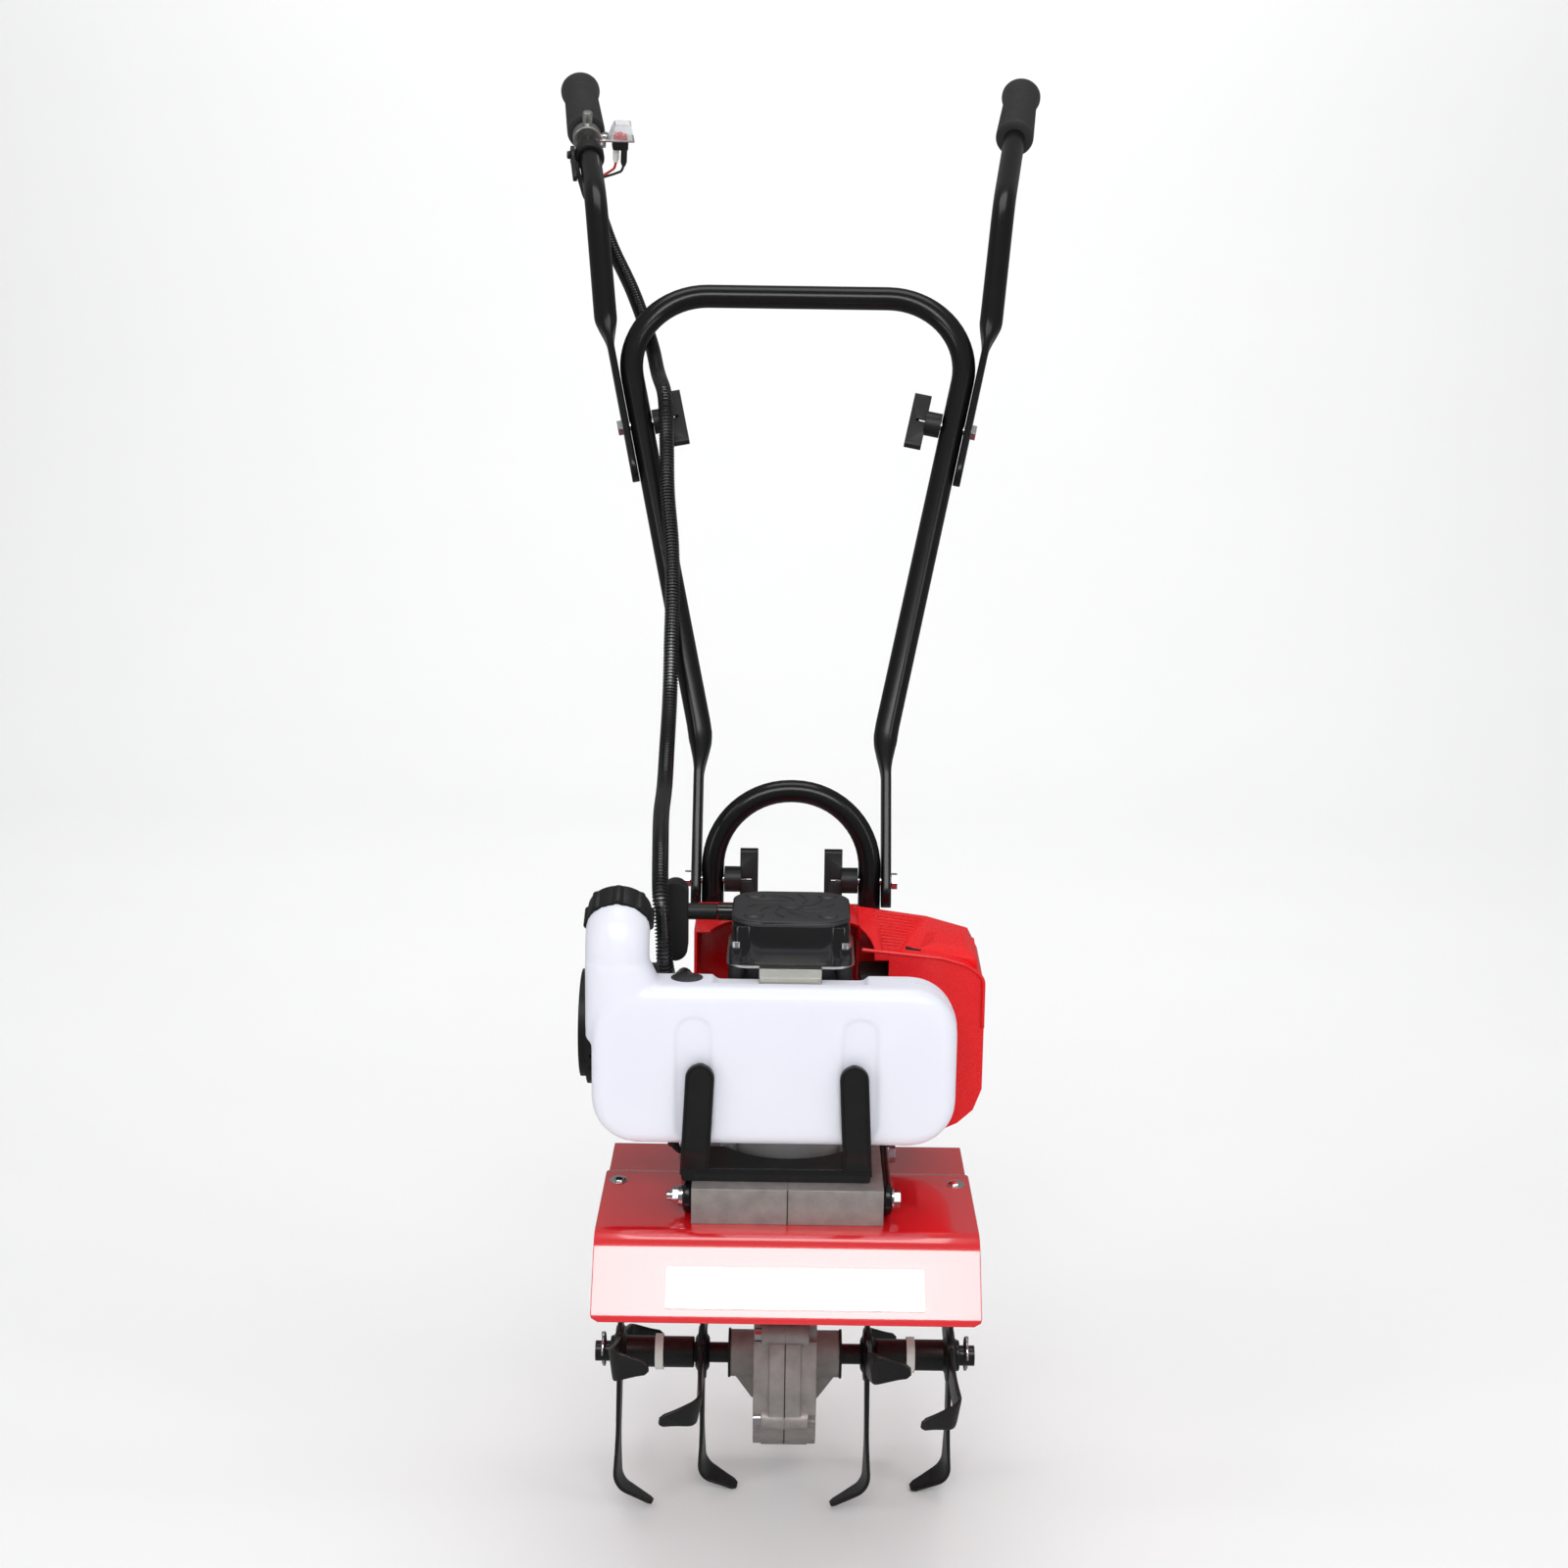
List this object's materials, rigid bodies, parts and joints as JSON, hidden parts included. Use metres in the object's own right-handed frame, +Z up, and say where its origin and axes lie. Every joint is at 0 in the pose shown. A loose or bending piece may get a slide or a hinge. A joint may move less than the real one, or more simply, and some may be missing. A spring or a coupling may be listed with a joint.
{
  "type": "mini cultivator",
  "caption": "Walk-behind mini cultivator: two-stroke engine over a split worm gearbox with bent-tine rotors under a sheet fender, and a two-stage folding tube handle.",
  "frame": {"origin": "on the ground plane under the middle of the machine's bounding box, with the handle up and the lowest tine tips on the ground", "axes": "+Z up, +X the machine's width (left grip at -X as seen from its front), -Y the machine's front (tank side), the handle leans back towards +Y"},
  "size_m": [0.5076, 0.8794, 1.2254],
  "materials": {
    "cast_alloy": "sand-cast, matte",
    "zinc": "bright zinc plate",
    "bearing_steel": "ground",
    "seal_rubber": "smooth",
    "red_paint": "gloss",
    "red_plastic": "gloss",
    "black_plastic": "satin",
    "black_gloss": "gloss",
    "tank_plastic": "satin, translucent",
    "black_paint": "semi-gloss",
    "dark_steel": "heat-resistant, matte",
    "cable_rubber": "glossy",
    "grip_rubber": "foam, matte",
    "bronze": "machined",
    "white_nylon": "satin",
    "filter_foam": "open-cell foam",
    "clear_hose": "clear amber",
    "red_rocker": "gloss"
  },
  "bodies": {
    "chassis": {"gearbox_left_half": "cast_alloy", "gearbox_right_half": "cast_alloy", "housing_screws": "zinc", "ball_bearings": "bearing_steel", "shaft_seals": "seal_rubber", "fender_front": "red_paint", "fender_rear": "red_paint", "fender_screws": "zinc", "clutch_housing": "cast_alloy", "tank_bracket": "black_plastic", "fuel_tank": "tank_plastic", "starter_plate": "zinc", "crankcase": "cast_alloy", "cylinder": "cast_alloy", "spark_plug": "zinc", "plug_cap": "seal_rubber", "engine_cover": "red_plastic", "muffler": "dark_steel", "carburetor": "cast_alloy", "intake_manifold": "black_plastic", "air_filter_base": "black_plastic", "air_filter_element": "filter_foam", "air_filter_cover": "black_plastic", "starter_housing": "black_gloss", "fan_housing": "black_plastic", "ignition_coil": "black_plastic", "handle_arch": "black_paint", "frame_bolts": "zinc", "fuel_lines": "clear_hose", "control_conduit": "cable_rubber"},
    "tines": {"tine_shaft": "black_paint", "worm_wheel": "bronze", "inner_rotors": "black_paint", "outer_rotors": "black_paint", "rotor_spacers": "white_nylon", "shaft_clips": "zinc"},
    "worm": {"worm_shaft": "bearing_steel", "clutch_drum": "bearing_steel"},
    "crank": {"crankshaft": "bearing_steel", "flywheel": "cast_alloy", "clutch_shoes": "dark_steel"},
    "piston": {"piston": "bearing_steel"},
    "pull_handle": {"starter_handle": "black_plastic"},
    "reel": {"starter_reel": "white_nylon"},
    "filler_cap": {"fuel_cap": "black_plastic"},
    "frame": {"middle_frame": "black_paint", "upper_bolts": "zinc"},
    "knob_lower_left": {"lower_knob_left": "black_plastic"},
    "knob_lower_right": {"lower_knob_right": "black_plastic"},
    "knob_upper_left": {"upper_knob_left": "black_plastic"},
    "knob_upper_right": {"upper_knob_right": "black_plastic"},
    "left_bar": {"handle_left": "black_paint", "grip_left": "grip_rubber", "throttle_clamp": "black_plastic", "switch_body": "black_plastic"},
    "right_bar": {"handle_right": "black_paint", "grip_right": "grip_rubber"},
    "throttle": {"throttle_lever": "black_plastic"},
    "rocker": {"switch_rocker": "red_rocker"},
    "choke": {"choke_lever": "zinc"}
  },
  "joints": [
    {"name": "tine_spin", "type": "hinge", "parent": "chassis", "child": "tines", "pos_m": [0, -0.309, 0.12573], "axis": [1, 0, 0], "continuous": true},
    {"name": "worm_spin", "type": "hinge", "parent": "chassis", "child": "worm", "pos_m": [0, -0.257, 0.2], "axis": [0, 0, 1], "continuous": true},
    {"name": "crank_spin", "type": "hinge", "parent": "chassis", "child": "crank", "pos_m": [0, -0.257, 0.4], "axis": [0, 0, 1], "continuous": true},
    {"name": "piston_stroke", "type": "slide", "parent": "chassis", "child": "piston", "axis": [0, 1, 0], "range_m": [-0.034, 0]},
    {"name": "starter_pull", "type": "slide", "parent": "chassis", "child": "pull_handle", "axis": [-1, 0, 0], "range_m": [0, 0.6], "stiffness_N_per_m": 25, "springref_m": -0.3},
    {"name": "starter_reel_spin", "type": "hinge", "parent": "chassis", "child": "reel", "pos_m": [0, -0.257, 0.49], "axis": [0, 0, 1], "range_deg": [0, 1240]},
    {"name": "fuel_cap_turn", "type": "hinge", "parent": "chassis", "child": "filler_cap", "pos_m": [-0.14, -0.3236, 0.505], "axis": [0, 0.8829, 0.4695], "range_deg": [0, 540]},
    {"name": "frame_fold", "type": "hinge", "parent": "chassis", "child": "frame", "pos_m": [0, -0.123, 0.493], "axis": [1, 0, 0], "range_deg": [-30, 97], "deforming": ["control_conduit"]},
    {"name": "left_handle_fold", "type": "hinge", "parent": "frame", "child": "left_bar", "pos_m": [-0.14684, 0.08333, 0.88106], "axis": [0.9793, 0.095, 0.1786], "range_deg": [-20, 130], "deforming": ["control_conduit"]},
    {"name": "right_handle_fold", "type": "hinge", "parent": "frame", "child": "right_bar", "pos_m": [0.14684, 0.08333, 0.88106], "axis": [0.9793, -0.095, -0.1786], "range_deg": [-20, 130]},
    {"name": "lower_knob_left_turn", "type": "hinge", "parent": "chassis", "child": "knob_lower_left", "pos_m": [-0.05, -0.123, 0.493], "axis": [-1, 0, 0], "range_deg": [0, 1080]},
    {"name": "lower_knob_right_turn", "type": "hinge", "parent": "chassis", "child": "knob_lower_right", "pos_m": [0.05, -0.123, 0.493], "axis": [1, 0, 0], "range_deg": [0, 1080]},
    {"name": "upper_knob_left_turn", "type": "hinge", "parent": "frame", "child": "knob_upper_left", "pos_m": [-0.14684, 0.08333, 0.88106], "axis": [-0.9793, -0.095, -0.1786], "range_deg": [0, 1080]},
    {"name": "upper_knob_right_turn", "type": "hinge", "parent": "frame", "child": "knob_upper_right", "pos_m": [0.14684, 0.08333, 0.88106], "axis": [0.9793, -0.095, -0.1786], "range_deg": [0, 1080]},
    {"name": "throttle_lever_turn", "type": "hinge", "parent": "left_bar", "child": "throttle", "pos_m": [-0.22842, 0.28083, 1.13441], "axis": [0.9892, 0.1467, 0], "range_deg": [0, 40]},
    {"name": "switch_rock", "type": "hinge", "parent": "left_bar", "child": "rocker", "pos_m": [-0.18371, 0.32702, 1.15455], "axis": [-0.1319, 0.8896, 0.4373], "range_deg": [0, 20]},
    {"name": "choke_turn", "type": "hinge", "parent": "chassis", "child": "choke", "pos_m": [-0.092, -0.224, 0.384], "axis": [0, 1, 0], "range_deg": [-35, 0]}
  ],
  "couplings": [
    {"joint": "worm_spin", "follows": "tine_spin", "ratio": 34},
    {"joint": "starter_reel_spin", "follows": "starter_pull", "rad_per_m": 35.7}
  ]
}
